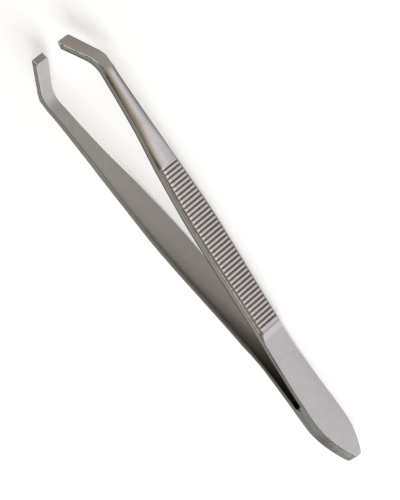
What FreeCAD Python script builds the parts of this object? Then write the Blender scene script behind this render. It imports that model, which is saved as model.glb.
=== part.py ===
import FreeCAD, Part
import math
import os

import Sketcher

# Satin steel thumb forceps: two spring arms welded to each other at the tail, tips bent inward.
# Building frame: X runs from the tail's end to the tips, Y is the opening direction with the weld
# plane at Y = 0, and Z is the width of the arms. All sizes are millimetres and degrees.

SIZES = [
    ("overall_length", 100.0, "tail end to tip end, along X"),
    ("cut_allowance", 1.0, "how far a cutting profile runs past the steel"),
    ("weld_length", 14.7, "length over which the arms are joined"),
    ("slit_half_gap", 0.62, "from the weld plane to an arm, at the slit's blunt end"),
    ("tail_end_thickness", 1.36, "one arm at the tail's end"),
    ("tail_thickness", 1.48, "one arm where the ground face starts to bow"),
    ("tail_width", 8.3, "widest part of the leaf-shaped tail"),
    ("tail_end_width", 2.2, "blunt end of the leaf"),
    ("tail_corner_radius", 0.7, "corners of the blunt end"),
    ("leaf_x", 10.5, "where the leaf is full width"),
    ("bow_start_x", 13.0, "start of the bowed spring"),
    ("bow_end_x", 27.0, "end of the bowed spring"),
    ("arm_angle", 6.3, "slope of a straight arm from the middle plane"),
    ("roll_depth", 0.6, "depth of the rolled edges of the blank under the ground face"),
    ("roll_width", 0.8, "width of each rolled edge of the blank under the ground face"),
    ("spring_x", 23.7, "where the rolled edges come out of the ground face"),
    ("spring_width", 7.25, "width of an arm there"),
    ("spring_side", 0.52, "upright side of an arm there"),
    ("shoulder_x", 31.3, "where the ground face runs out at the grip"),
    ("shoulder_step", 0.75, "height of the grip over the ground face"),
    ("runout_radius", 8.0, "radius left by the wheel at the shoulder"),
    ("shoulder_width", 6.8, "width at the shoulder"),
    ("shoulder_side", 1.15, "upright side at the shoulder"),
    ("shoulder_thickness", 1.75, "thickness at the shoulder"),
    ("shoulder_flat", 4.8, "flat back at the shoulder"),
    ("grip_x", 54.0, "widest part of the grip"),
    ("grip_width", 7.55, "width there"),
    ("grip_side", 1.15, "upright side there"),
    ("grip_thickness", 1.68, "thickness there"),
    ("grip_flat", 5.2, "flat back there"),
    ("grip_end_x", 67.6, "end of the grooved grip"),
    ("grip_end_width", 6.1, "width there"),
    ("grip_end_side", 1.2, "upright side there"),
    ("grip_end_thickness", 1.7, "thickness there"),
    ("grip_end_flat", 3.4, "flat back there"),
    ("shank_share", 0.486, "middle of the shank, as a share of the way from grip to ridge end"),
    ("shank_width", 4.2, "width there"),
    ("shank_side", 1.08, "upright side there"),
    ("shank_thickness", 1.55, "thickness there"),
    ("shank_flat", 1.1, "flat back there"),
    ("ridge_gap", 0.9, "from the end of the straight ridge to the bend"),
    ("ridge_width", 3.36, "width at the ridge's end"),
    ("ridge_side", 0.85, "upright side there"),
    ("ridge_thickness", 1.5, "thickness there"),
    ("ridge_flat", 0.3, "flat back there"),
    ("tip_length", 10.1, "from the start of the bend, on the back, to the tip's end"),
    ("elbow_width", 3.35, "width at the start of the bend"),
    ("elbow_thickness", 1.45, "thickness there"),
    ("elbow_side", 0.85, "upright side there"),
    ("elbow_flat", 0.6, "flat back there"),
    ("elbow_inner_radius", 5.5, "bend radius of the inner face"),
    ("tip_angle", 35.0, "slope of the bent tip towards the other arm"),
    ("tip_root_width", 3.5, "width of the bar at the end of the bend"),
    ("tip_width", 3.95, "width of the bar at its end"),
    ("tip_root_thickness", 1.15, "thickness of the bar at the end of the bend"),
    ("tip_thickness", 1.0, "thickness of the bar at its end"),
    ("bar_edge_radius", 0.12, "broken edges along the bar's back"),
    ("jaw_face_angle", 11.5, "slope of the jaw face from X with the arms open"),
    ("tip_corner_radius", 0.35, "corners of the bar's end"),
    ("groove_count", 41, "grooves across each grip"),
    ("groove_pitch", 0.9055, "from groove to groove"),
    ("groove_start", 0.45, "from the shoulder to the middle of the first groove"),
    ("groove_width", 0.42, "groove at the surface"),
    ("groove_root_width", 0.2, "groove at its root"),
    ("groove_depth", 0.22, "depth of a groove"),
]

# How closely two places must agree to count as one.
FIT = 1e-4

doc = FreeCAD.newDocument("Forceps")


def make_sheet():
    sheet = doc.addObject("Spreadsheet::Sheet", "Sizes")
    for row, (alias, value, note) in enumerate(SIZES, start=1):
        sheet.set(f"A{row}", alias)
        sheet.set(f"B{row}", str(value))
        sheet.set(f"C{row}", note)
        sheet.setAlias(f"B{row}", alias)
    doc.recompute()
    return sheet


sizes = make_sheet()


def size(expression):
    """Value of an expression in the sheet's aliases."""
    return float(sizes.evalExpression(expression))


# Derived places, as expressions in the sheet's values. The bend keeps its distance from the tip.
ELBOW_X = "(Sizes.overall_length - Sizes.tip_length)"
RIDGE_X = f"({ELBOW_X} - Sizes.ridge_gap)"
SHANK_X = f"(Sizes.grip_end_x + ({RIDGE_X} - Sizes.grip_end_x) * Sizes.shank_share)"
STATION_X = {
    "shoulder": "Sizes.shoulder_x",
    "grip": "Sizes.grip_x",
    "grip_end": "Sizes.grip_end_x",
    "shank": SHANK_X,
    "ridge": RIDGE_X,
}
TAIL_SLOPE = "((Sizes.tail_thickness - Sizes.tail_end_thickness) / Sizes.bow_start_x)"
BOW_CHORD = f"tan((atan({TAIL_SLOPE}) + Sizes.arm_angle * 1deg) / 2)"
ARM_SLOPE = "tan(Sizes.arm_angle * 1deg)"
BOW_END_Y = f"(Sizes.tail_thickness + (Sizes.bow_end_x - Sizes.bow_start_x) * {BOW_CHORD})"
SHOULDER_Y = f"({BOW_END_Y} + (Sizes.shoulder_x - Sizes.bow_end_x) * {ARM_SLOPE} + Sizes.shoulder_step)"


def back_y(x):
    """The straight back of an arm, from the shoulder to the elbow."""
    return f"({SHOULDER_Y} + ({x} - Sizes.shoulder_x) * {ARM_SLOPE})"


SHOULDER_INNER_Y = f"({SHOULDER_Y} - Sizes.shoulder_thickness)"
SLIT_RISE = f"({SHOULDER_INNER_Y} - Sizes.slit_half_gap)"
SLIT_RUN = "(Sizes.shoulder_x - Sizes.weld_length)"
SLIT_TURN = f"(Sizes.arm_angle * 1deg - atan({SLIT_RISE} / {SLIT_RUN}))"
SLIT_RADIUS = f"(sqrt({SLIT_RISE} ^ 2 + {SLIT_RUN} ^ 2) / (2 * sin({SLIT_TURN})))"
BEND_REACH = "(Sizes.elbow_thickness + Sizes.elbow_inner_radius)"
BEND_X = f"({ELBOW_X} + {BEND_REACH} * sin(Sizes.arm_angle * 1deg))"
BEND_Y = f"({back_y(ELBOW_X)} - {BEND_REACH} * cos(Sizes.arm_angle * 1deg))"
BAR_REACH = "(Sizes.elbow_inner_radius + Sizes.tip_root_thickness)"
BAR_X = f"({BEND_X} + {BAR_REACH} * sin(Sizes.tip_angle * 1deg))"
BAR_Y = f"({BEND_Y} + {BAR_REACH} * cos(Sizes.tip_angle * 1deg))"
JAW_Y = f"({BAR_Y} - (Sizes.overall_length - {BAR_X}) * tan(Sizes.tip_angle * 1deg))"


def origin_plane(body, role):
    return next(feature for feature in body.Origin.OriginFeatures if feature.Role == role)


def new_sketch(body, name, plane):
    sketch = body.newObject("Sketcher::SketchObject", name)
    sketch.AttachmentSupport = [(origin_plane(body, plane), "")]
    sketch.MapMode = "FlatFace"
    return sketch


def bind(sketch, constraint, expression):
    index = sketch.addConstraint(constraint)
    sketch.setExpression(f"Constraints[{index}]", expression)


def pin(sketch, geometry, end, x, y):
    """Hold one end of a line or arc at (x, y), given as expressions."""
    bind(sketch, Sketcher.Constraint("DistanceX", -1, 1, geometry, end, size(x)), x)
    bind(sketch, Sketcher.Constraint("DistanceY", -1, 1, geometry, end, size(y)), y)


def join_ends(sketch, count):
    """Close a chain of edges, each drawn from its start to its end."""
    for index in range(count):
        sketch.addConstraint(Sketcher.Constraint("Coincident", index, 2, (index + 1) % count, 1))


def outline(body, name, plane, corners):
    """Closed outline of straight edges through corners given as pairs of expressions."""
    sketch = new_sketch(body, name, plane)
    points = [FreeCAD.Vector(size(x), size(y), 0) for x, y in corners]
    for start, end in zip(points, points[1:] + points[:1]):
        sketch.addGeometry(Part.LineSegment(start, end), False)
    join_ends(sketch, len(points))
    for index, (x, y) in enumerate(corners):
        pin(sketch, index, 1, x, y)
    return sketch


def back_section(body, name, x, y, dims, inset=None, turn=None):
    """Section across an arm: inner face, upright sides, rolled edges and a flat back.

    The origin is on the inner face, +X of the sketch points outwards. dims holds expressions for
    width, side, thickness and flat. inset lets the profile run past the inner face, and turn is the
    axis sign and the angle of a section on the bend.
    """
    sketch = new_sketch(body, name, "YZ_Plane")
    offset = FreeCAD.Vector(size(y), 0, size(x))
    rotation = FreeCAD.Rotation()
    if turn:
        rotation = FreeCAD.Rotation(FreeCAD.Vector(0, turn[0], 0), size(turn[1]))
    sketch.AttachmentOffset = FreeCAD.Placement(offset, rotation)
    sketch.setExpression(".AttachmentOffset.Base.x", y)
    sketch.setExpression(".AttachmentOffset.Base.z", x)
    if turn:
        sketch.setExpression(".AttachmentOffset.Rotation.Angle", turn[1])

    width, side, thickness, flat = (size(dims[key]) for key in ("width", "side", "thickness", "flat"))
    base = -size(inset) if inset else 0.0
    across = (width - flat) / 2
    deep = thickness - side
    radius = (across ** 2 + deep ** 2) / (2 * deep)
    angle = math.asin(min(1.0, across / radius))
    vector = FreeCAD.Vector
    upright = vector(0, 0, 1)
    high_circle = Part.Circle(vector(thickness - radius, flat / 2, 0), upright, radius)
    low_circle = Part.Circle(vector(thickness - radius, -flat / 2, 0), upright, radius)
    inner_low, inner_high = vector(base, -width / 2, 0), vector(base, width / 2, 0)
    side_low, side_high = vector(side, -width / 2, 0), vector(side, width / 2, 0)
    back_low, back_high = vector(thickness, -flat / 2, 0), vector(thickness, flat / 2, 0)
    sketch.addGeometry(Part.LineSegment(inner_low, inner_high), False)
    sketch.addGeometry(Part.LineSegment(inner_high, side_high), False)
    sketch.addGeometry(Part.ArcOfCircle(high_circle, 0, angle), False)
    sketch.addGeometry(Part.LineSegment(back_high, back_low), False)
    sketch.addGeometry(Part.ArcOfCircle(low_circle, -angle, 0), False)
    sketch.addGeometry(Part.LineSegment(side_low, inner_low), False)

    for link in ((0, 2, 1, 1), (1, 2, 2, 2), (4, 1, 5, 1), (5, 2, 0, 1)):
        sketch.addConstraint(Sketcher.Constraint("Coincident", *link))
    sketch.addConstraint(Sketcher.Constraint("Tangent", 2, 1, 3, 1))
    sketch.addConstraint(Sketcher.Constraint("Tangent", 4, 2, 3, 2))
    sketch.addConstraint(Sketcher.Constraint("Horizontal", 1))
    sketch.addConstraint(Sketcher.Constraint("Horizontal", 5))
    sketch.addConstraint(Sketcher.Constraint("Symmetric", 0, 1, 0, 2, -1))
    sketch.addConstraint(Sketcher.Constraint("Symmetric", 3, 1, 3, 2, -1))
    sketch.addConstraint(Sketcher.Constraint("Vertical", 1, 2, 5, 1))
    if inset:
        bind(sketch, Sketcher.Constraint("DistanceX", 0, 1, -1, 1, -base), inset)
    else:
        sketch.addConstraint(Sketcher.Constraint("PointOnObject", 0, 1, -2))
    bind(sketch, Sketcher.Constraint("DistanceY", 0, 1, 0, 2, width), dims["width"])
    bind(sketch, Sketcher.Constraint("DistanceX", -1, 1, 1, 2, side), dims["side"])
    bind(sketch, Sketcher.Constraint("DistanceX", -1, 1, 3, 1, thickness), dims["thickness"])
    bind(sketch, Sketcher.Constraint("DistanceY", 3, 2, 3, 1, flat), dims["flat"])
    return sketch


def station_section(body, station):
    """Section at a named station of the straight arm, its back on the arm's straight back line."""
    x = STATION_X[station]
    dims = {key: f"Sizes.{station}_{key}" for key in ("width", "side", "thickness", "flat")}
    y = f"({back_y(x)} - Sizes.{station}_thickness)"
    return back_section(body, f"{station.title().replace('_', '')}Section", x, y, dims)


def tail_section(body, name, x, y, width, side):
    """Section of the blank under the ground face: its rolled edges stand clear of the face."""
    dims = {
        "width": width,
        "side": side,
        "thickness": f"{side} + Sizes.roll_depth",
        "flat": f"{width} - 2 * Sizes.roll_width",
    }
    return back_section(body, name, x, y, dims, inset="Sizes.cut_allowance")


def bar_section(body, name, x, y, width, thickness, turn):
    dims = {
        "width": width,
        "side": f"{thickness} - Sizes.bar_edge_radius",
        "thickness": thickness,
        "flat": f"{width} - 2 * Sizes.bar_edge_radius",
    }
    return back_section(body, name, x, y, dims, turn=turn)


def loft(body, name, sections, ruled):
    feature = body.newObject("PartDesign::AdditiveLoft", name)
    feature.Profile = sections[0]
    feature.Sections = sections[1:]
    feature.Ruled = ruled
    doc.recompute()
    return feature


def cut_through(body, name, sketch):
    """Cut a profile through the whole width, and make sure that it took something away."""
    before = body.Shape.Volume
    pocket = body.newObject("PartDesign::Pocket", name)
    pocket.Profile = sketch
    pocket.Type = "ThroughAll"
    pocket.SideType = "Symmetric"
    doc.recompute()
    if pocket.Shape.isNull() or pocket.Shape.Volume >= before:
        raise RuntimeError(f"{name} takes nothing away")


def bend_place(angle):
    """Inner face of the bar where the bend has turned to an angle from X."""
    x = f"({BEND_X} - Sizes.elbow_inner_radius * sin({angle}))"
    y = f"({BEND_Y} + Sizes.elbow_inner_radius * cos({angle}))"
    return x, y


def make_blank(body):
    """The drawn-out blank: tail, grip and shank, then the flat bar bent at the elbow."""
    tail = ("Sizes.tail_width", "Sizes.tail_thickness")
    spring_rise = f"{SLIT_RISE} * (Sizes.spring_x - Sizes.weld_length) / {SLIT_RUN}"
    spring_place = ("Sizes.spring_x", f"(Sizes.slit_half_gap + {spring_rise})")
    tail_sections = [
        tail_section(body, "TailEndSection", "0", "0", *tail),
        tail_section(body, "LeafSection", "Sizes.leaf_x", "0", *tail),
        tail_section(body, "SpringSection", *spring_place, "Sizes.spring_width", "Sizes.spring_side"),
        station_section(body, "shoulder"),
    ]
    loft(body, "TailBlank", tail_sections, False)

    arm_sections = [station_section(body, station) for station in STATION_X]
    loft(body, "ArmBlank", arm_sections, False)

    elbow_dims = {key: f"Sizes.elbow_{key}" for key in ("width", "side", "thickness", "flat")}
    elbow_place = bend_place("Sizes.arm_angle * 1deg")
    elbow = back_section(body, "ElbowSection", *elbow_place, elbow_dims, turn=(1, "Sizes.arm_angle"))
    loft(body, "ShankEnd", [arm_sections[-1], elbow], True)
    middle = bar_section(
        body, "MidBendSection", *bend_place("(Sizes.arm_angle - Sizes.tip_angle) / 2 * 1deg"),
        "(Sizes.elbow_width + Sizes.tip_root_width) / 2",
        "(Sizes.elbow_thickness + Sizes.tip_root_thickness) / 2",
        (-1, "(Sizes.tip_angle - Sizes.arm_angle) / 2"),
    )
    root = bar_section(
        body, "BarRootSection", *bend_place("-Sizes.tip_angle * 1deg"),
        "Sizes.tip_root_width", "Sizes.tip_root_thickness", (-1, "Sizes.tip_angle"),
    )
    loft(body, "Bend", [elbow, middle, root], False)
    end_x = "(Sizes.overall_length - Sizes.tip_thickness * sin(Sizes.tip_angle * 1deg))"
    end_y = f"({JAW_Y} - Sizes.tip_thickness * cos(Sizes.tip_angle * 1deg))"
    end = bar_section(
        body, "BarEndSection", end_x, end_y,
        "Sizes.tip_width", "Sizes.tip_thickness", (-1, "Sizes.tip_angle"),
    )
    loft(body, "Bar", [root, end], True)


def cut_inner_face(body):
    """Weld plane and the slit's bowed floor: everything on the other arm's side of them goes."""
    sketch = new_sketch(body, "InnerFaceOutline", "XY_Plane")
    start_x = "-Sizes.cut_allowance"
    low = "-(Sizes.tail_thickness + 2 * Sizes.cut_allowance)"
    corners = [
        (start_x, low),
        ("Sizes.shoulder_x", low),
        ("Sizes.shoulder_x", SHOULDER_INNER_Y),
        ("Sizes.weld_length", "Sizes.slit_half_gap"),
        ("Sizes.weld_length", "0"),
        (start_x, "0"),
    ]
    floor = corners.index(("Sizes.shoulder_x", SHOULDER_INNER_Y))
    points = [FreeCAD.Vector(size(x), size(y), 0) for x, y in corners]
    slope = math.radians(size("Sizes.arm_angle"))
    radius = size(SLIT_RADIUS)
    centre = points[floor] + FreeCAD.Vector(-math.sin(slope), math.cos(slope), 0) * radius
    circle = Part.Circle(centre, FreeCAD.Vector(0, 0, 1), radius)
    down = -math.pi / 2
    blunt_end = down + math.asin((points[floor + 1].x - centre.x) / radius)
    for index, (start, end) in enumerate(zip(points, points[1:] + points[:1])):
        if index != floor:
            sketch.addGeometry(Part.LineSegment(start, end), False)
        else:
            sketch.addGeometry(Part.ArcOfCircle(circle, blunt_end, down + slope), False)
    for index in range(len(points)):
        following = (index + 1) % len(points)
        leaves = 1 if index == floor else 2
        enters = 2 if following == floor else 1
        sketch.addConstraint(Sketcher.Constraint("Coincident", index, leaves, following, enters))
    for index, (x, y) in enumerate(corners):
        pin(sketch, index, 2 if index == floor else 1, x, y)
    bind(sketch, Sketcher.Constraint("Radius", floor, radius), SLIT_RADIUS)
    cut_through(body, "InnerFace", sketch)


def cut_ground_face(body):
    """Flat-ground outside of the tail: straight, bowed over the spring, run out at the shoulder."""
    sketch = new_sketch(body, "GroundFaceOutline", "XY_Plane")
    vector = FreeCAD.Vector
    start_x = "-Sizes.cut_allowance"
    start_y = f"(Sizes.tail_end_thickness - Sizes.cut_allowance * {TAIL_SLOPE})"
    start = vector(size(start_x), size(start_y), 0)
    bow_start = vector(size("Sizes.bow_start_x"), size("Sizes.tail_thickness"), 0)
    bow_end = vector(size("Sizes.bow_end_x"), size(BOW_END_Y), 0)
    shoulder = vector(size("Sizes.shoulder_x"), size(SHOULDER_Y), 0)
    radius = size("Sizes.runout_radius")
    slope = math.radians(size("Sizes.arm_angle"))
    tail_slope = math.atan(size(TAIL_SLOPE))
    step = size("Sizes.shoulder_step") * math.cos(slope)
    turn = math.acos(1 - step / radius)
    along = vector(math.cos(slope), math.sin(slope), 0)
    outwards = vector(-math.sin(slope), math.cos(slope), 0)
    runout = shoulder - along * (radius * math.sin(turn)) - outwards * step
    centre = runout + outwards * radius
    bow_radius = (bow_end - bow_start).Length / (2 * math.sin((slope - tail_slope) / 2))
    bow_centre = bow_start + vector(-math.sin(tail_slope), math.cos(tail_slope), 0) * bow_radius
    high = 2 * shoulder.y
    down = -math.pi / 2
    sketch.addGeometry(Part.LineSegment(start, bow_start), False)
    bow_circle = Part.Circle(bow_centre, vector(0, 0, 1), bow_radius)
    sketch.addGeometry(Part.ArcOfCircle(bow_circle, down + tail_slope, down + slope), False)
    sketch.addGeometry(Part.LineSegment(bow_end, runout), False)
    runout_circle = Part.Circle(centre, vector(0, 0, 1), radius)
    sketch.addGeometry(Part.ArcOfCircle(runout_circle, down + slope, down + slope + turn), False)
    sketch.addGeometry(Part.LineSegment(shoulder, vector(shoulder.x, high, 0)), False)
    sketch.addGeometry(Part.LineSegment(vector(shoulder.x, high, 0), vector(start.x, high, 0)), False)
    sketch.addGeometry(Part.LineSegment(vector(start.x, high, 0), start), False)
    for first in (0, 1, 2):
        sketch.addConstraint(Sketcher.Constraint("Tangent", first, 2, first + 1, 1))
    for first in (3, 4, 5):
        sketch.addConstraint(Sketcher.Constraint("Coincident", first, 2, first + 1, 1))
    sketch.addConstraint(Sketcher.Constraint("Coincident", 6, 2, 0, 1))
    sketch.addConstraint(Sketcher.Constraint("Vertical", 4))
    sketch.addConstraint(Sketcher.Constraint("Horizontal", 5))
    sketch.addConstraint(Sketcher.Constraint("Vertical", 6))
    pin(sketch, 0, 1, start_x, start_y)
    pin(sketch, 0, 2, "Sizes.bow_start_x", "Sizes.tail_thickness")
    bind(sketch, Sketcher.Constraint("DistanceX", -1, 1, 1, 2, bow_end.x), "Sizes.bow_end_x")
    bind(sketch, Sketcher.Constraint("Angle", 2, slope), "Sizes.arm_angle * 1deg")
    bind(sketch, Sketcher.Constraint("Radius", 3, radius), "Sizes.runout_radius")
    pin(sketch, 3, 2, "Sizes.shoulder_x", SHOULDER_Y)
    bind(sketch, Sketcher.Constraint("DistanceY", -1, 1, 4, 2, high), f"2 * {SHOULDER_Y}")
    cut_through(body, "GroundFace", sketch)


def cut_end(body, name, reach, width, end_width, place=None):
    """Shape an end seen along the steel's thickness: two arcs narrow its full width to a blunt end.

    The blunt end lies at the origin and the steel is on the sketch's +X side. reach is the length of
    the arcs, and place is the X, Y and angle of an end that lies elsewhere. All are expressions.
    """
    sketch = new_sketch(body, f"{name}Outline", "XZ_Plane")
    if place:
        x, y, turn = place
        base = FreeCAD.Vector(size(x), 0, -size(y))
        rotation = FreeCAD.Rotation(FreeCAD.Vector(0, 1, 0), size(turn))
        sketch.AttachmentOffset = FreeCAD.Placement(base, rotation)
        sketch.setExpression(".AttachmentOffset.Base.x", x)
        sketch.setExpression(".AttachmentOffset.Base.z", f"-{y}")
        sketch.setExpression(".AttachmentOffset.Rotation.Angle", turn)

    vector = FreeCAD.Vector
    half = size(width) / 2
    end_half = size(end_width) / 2
    full_x = size(reach)
    past = size("Sizes.cut_allowance")
    drop = half - end_half
    radius = (full_x ** 2 + drop ** 2) / (2 * drop)
    sweep = math.asin(full_x / radius)
    up = math.pi / 2
    high_circle = Part.Circle(vector(full_x, half - radius, 0), vector(0, 0, 1), radius)
    low_circle = Part.Circle(vector(full_x, radius - half, 0), vector(0, 0, 1), radius)
    outside = [
        vector(full_x, half, 0), vector(full_x, half + past, 0), vector(-past, half + past, 0),
        vector(-past, -half - past, 0), vector(full_x, -half - past, 0), vector(full_x, -half, 0),
    ]
    sketch.addGeometry(Part.ArcOfCircle(high_circle, up, up + sweep), False)
    sketch.addGeometry(Part.LineSegment(vector(0, end_half, 0), vector(0, -end_half, 0)), False)
    sketch.addGeometry(Part.ArcOfCircle(low_circle, -up - sweep, -up), False)
    for start, end in zip(outside, outside[1:]):
        sketch.addGeometry(Part.LineSegment(start, end), False)
    links = (
        (0, 2, 1, 1), (1, 2, 2, 1), (2, 2, 7, 2), (3, 1, 0, 1),
        (3, 2, 4, 1), (4, 2, 5, 1), (5, 2, 6, 1), (6, 2, 7, 1),
    )
    for link in links:
        sketch.addConstraint(Sketcher.Constraint("Coincident", *link))
    for line in (3, 7):
        sketch.addConstraint(Sketcher.Constraint("Vertical", line))
    for line in (4, 6):
        sketch.addConstraint(Sketcher.Constraint("Horizontal", line))
    sketch.addConstraint(Sketcher.Constraint("Symmetric", 0, 1, 2, 2, -1))
    sketch.addConstraint(Sketcher.Constraint("Symmetric", 5, 1, 5, 2, -1))
    sketch.addConstraint(Sketcher.Constraint("Symmetric", 1, 1, 1, 2, -1))
    sketch.addConstraint(Sketcher.Constraint("PointOnObject", 1, 1, -2))
    sketch.addConstraint(Sketcher.Constraint("Vertical", 0, 1, 0, 3))
    sketch.addConstraint(Sketcher.Constraint("Vertical", 2, 2, 2, 3))
    bind(sketch, Sketcher.Constraint("DistanceY", 1, 2, 1, 1, 2 * end_half), end_width)
    bind(sketch, Sketcher.Constraint("DistanceY", 2, 2, 0, 1, 2 * half), width)
    bind(sketch, Sketcher.Constraint("DistanceX", -1, 1, 0, 1, full_x), reach)
    bind(sketch, Sketcher.Constraint("DistanceX", 5, 1, -1, 1, past), "Sizes.cut_allowance")
    bind(sketch, Sketcher.Constraint("DistanceY", 0, 1, 3, 2, past), "Sizes.cut_allowance")
    cut_through(body, name, sketch)


def cut_jaw_face(body):
    """End of the bar, bevelled to face the other jaw. The cutting line runs back below the bar."""
    rise = "tan(Sizes.jaw_face_angle * 1deg)"
    corners = [
        (BAR_X, f"({JAW_Y} - (Sizes.overall_length - {BAR_X}) * {rise})"),
        (BAR_X, "0"),
        ("Sizes.overall_length + Sizes.cut_allowance", "0"),
        ("Sizes.overall_length + Sizes.cut_allowance", f"({JAW_Y} + Sizes.cut_allowance * {rise})"),
    ]
    cut_through(body, "JawFace", outline(body, "JawFaceOutline", "XY_Plane", corners))


def cut_grooves(body):
    """Grooves milled straight across the back of the grip."""
    first_x = "(Sizes.shoulder_x + Sizes.groove_start)"
    half = "(Sizes.groove_width / 2)"
    root = "(Sizes.groove_root_width / 2)"
    corners = [
        (f"-{half}", "Sizes.cut_allowance"),
        (f"-{half}", "0"),
        (f"-{root}", "-Sizes.groove_depth"),
        (root, "-Sizes.groove_depth"),
        (half, "0"),
        (half, "Sizes.cut_allowance"),
    ]
    sketch = outline(body, "GrooveOutline", "XY_Plane", corners)
    place = FreeCAD.Vector(size(first_x), size(back_y(first_x)), 0)
    turn = FreeCAD.Rotation(FreeCAD.Vector(0, 0, 1), size("Sizes.arm_angle"))
    sketch.AttachmentOffset = FreeCAD.Placement(place, turn)
    sketch.setExpression(".AttachmentOffset.Base.x", first_x)
    sketch.setExpression(".AttachmentOffset.Base.y", back_y(first_x))
    sketch.setExpression(".AttachmentOffset.Rotation.Angle", "Sizes.arm_angle")
    cut_through(body, "Groove", sketch)
    pattern = body.newObject("PartDesign::LinearPattern", "Grooves")
    pattern.Originals = [body.Tip]
    pattern.Direction = (sketch, ["H_Axis"])
    pattern.Mode = "Spacing"
    pattern.setExpression("Offset", "Sizes.groove_pitch")
    pattern.setExpression("Occurrences", "Sizes.groove_count")
    body.Tip = pattern
    doc.recompute()


def round_tail_corners(body):
    """Round the two corners between the leaf's arcs and its blunt end."""
    steel = body.Tip

    def on_blunt_end(edge):
        box = edge.BoundBox
        return max(abs(box.XMin), abs(box.XMax), box.ZLength) < FIT

    corners = [
        f"Edge{index}" for index, edge in enumerate(steel.Shape.Edges, start=1) if on_blunt_end(edge)
    ]
    fillet = body.newObject("PartDesign::Fillet", "TailCorners")
    fillet.Base = (steel, corners)
    fillet.setExpression("Radius", "Sizes.tail_corner_radius")
    doc.recompute()


def make_arm():
    body = doc.addObject("PartDesign::Body", "LeftArm")
    body.Label = "left_arm"
    make_blank(body)
    cut_inner_face(body)
    cut_ground_face(body)
    cut_end(body, "LeafEnd", "Sizes.leaf_x", "Sizes.tail_width", "Sizes.tail_end_width")
    round_tail_corners(body)
    cut_jaw_face(body)
    tip_place = ("Sizes.overall_length", JAW_Y, "180 - Sizes.tip_angle")
    tip_end_width = "(Sizes.tip_width - 2 * Sizes.tip_corner_radius)"
    cut_end(body, "TipEnd", "Sizes.tip_corner_radius", "Sizes.tip_width", tip_end_width, tip_place)
    cut_grooves(body)
    body.setExpression(".Placement.Base.x", "-Sizes.overall_length / 2")
    body.setExpression(".Placement.Base.z", "max(Sizes.tail_width; Sizes.grip_width) / 2")
    return body


def mirror_arm(arm):
    """The other arm: the same forging turned over, on the far side of the weld plane."""
    other = doc.addObject("Part::Mirroring", "RightArm")
    other.Label = "right_arm"
    other.Source = arm
    other.Base = FreeCAD.Vector(0, 0, 0)
    other.Normal = FreeCAD.Vector(0, 1, 0)
    return other


left_arm = make_arm()
doc.recompute()
right_arm = mirror_arm(left_arm)
doc.recompute()

for item in doc.Objects:
    if "Invalid" in item.State or "Error" in item.State:
        raise RuntimeError(f"{item.Name} doesn't build: {item.State}")

os.makedirs("parts", exist_ok=True)
for node in (left_arm, right_arm):
    shape = node.Shape
    if shape.isNull() or not shape.isValid() or len(shape.Solids) != 1:
        raise RuntimeError(f"{node.Label} is not one sound solid")
    shape.exportStep(f"parts/{node.Label}.step")
    print(node.Label, round(shape.Volume, 2), shape.optimalBoundingBox())
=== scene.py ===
import math

import bmesh
import bpy
import numpy as np
from mathutils import Matrix, Vector


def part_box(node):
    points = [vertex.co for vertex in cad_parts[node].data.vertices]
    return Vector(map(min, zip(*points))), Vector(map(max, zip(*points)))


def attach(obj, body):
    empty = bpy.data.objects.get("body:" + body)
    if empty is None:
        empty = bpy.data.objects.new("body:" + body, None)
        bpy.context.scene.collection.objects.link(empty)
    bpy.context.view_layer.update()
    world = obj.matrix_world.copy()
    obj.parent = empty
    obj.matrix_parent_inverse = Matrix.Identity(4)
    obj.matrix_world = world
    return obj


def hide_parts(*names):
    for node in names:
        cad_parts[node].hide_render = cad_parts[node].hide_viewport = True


# Satin steel thumb forceps. Each arm is one skin: a row of cross sections carried along the arm's
# inner face. Arm sizes are millimetres and degrees, measured from the tail's end towards the tips.

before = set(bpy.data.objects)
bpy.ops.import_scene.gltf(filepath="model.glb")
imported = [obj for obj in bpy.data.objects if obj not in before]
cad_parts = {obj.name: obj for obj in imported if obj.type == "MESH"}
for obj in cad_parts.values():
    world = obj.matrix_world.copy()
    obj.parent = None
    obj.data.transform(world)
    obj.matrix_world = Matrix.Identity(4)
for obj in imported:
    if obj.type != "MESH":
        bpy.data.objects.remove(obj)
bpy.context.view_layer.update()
millimetre = 0.001
farAway = 100.0  # height of a cut that takes nothing away

# The straight arm keeps the solid's sizes. The slit's end has a short crack where the weld stops.
armSizes = {
    "length": 100.0,
    "weldLength": 14.7,
    "slitHalfGap": 0.62,
    "crackLength": 0.65,
    "crackSlope": 0.35,
    "tailEndThickness": 1.36,
    "tailThickness": 1.48,
    "bowStart": 13.0,
    "bowEnd": 27.0,
    "armAngle": 6.3,
    "shoulder": 31.3,
    "shoulderStep": 0.75,
    "runoutRadius": 5.0,
    "runoutEnd": 30.75,
    "runoutPastSlope": 5,
    "groundPast": 1.0,
    "leastRollWidth": 0.3,
    "leafLength": 10.5,
    "tailEndWidth": 1.4,
    "tailCornerRadius": 0.6,
    "leafSkew": 0.55,
    "leafSkewEnd": 1.5,
    "tailEdgeRadius": 0.35,
    "ridge": 89.0,
    "elbow": 89.9,
    "elbowInnerRadius": 5.5,
    "elbowFade": 0.5,
    "tipAngle": 37.5,
    "barEdge": 0.12,
    "tipRootThickness": 1.15,
    "tipThickness": 1.0,
    "tipRootWidth": 3.5,
    "tipWidth": 3.95,
    "tipCornerRadius": 0.42,
    "jawFaceAngle": 11.5,
}

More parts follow.
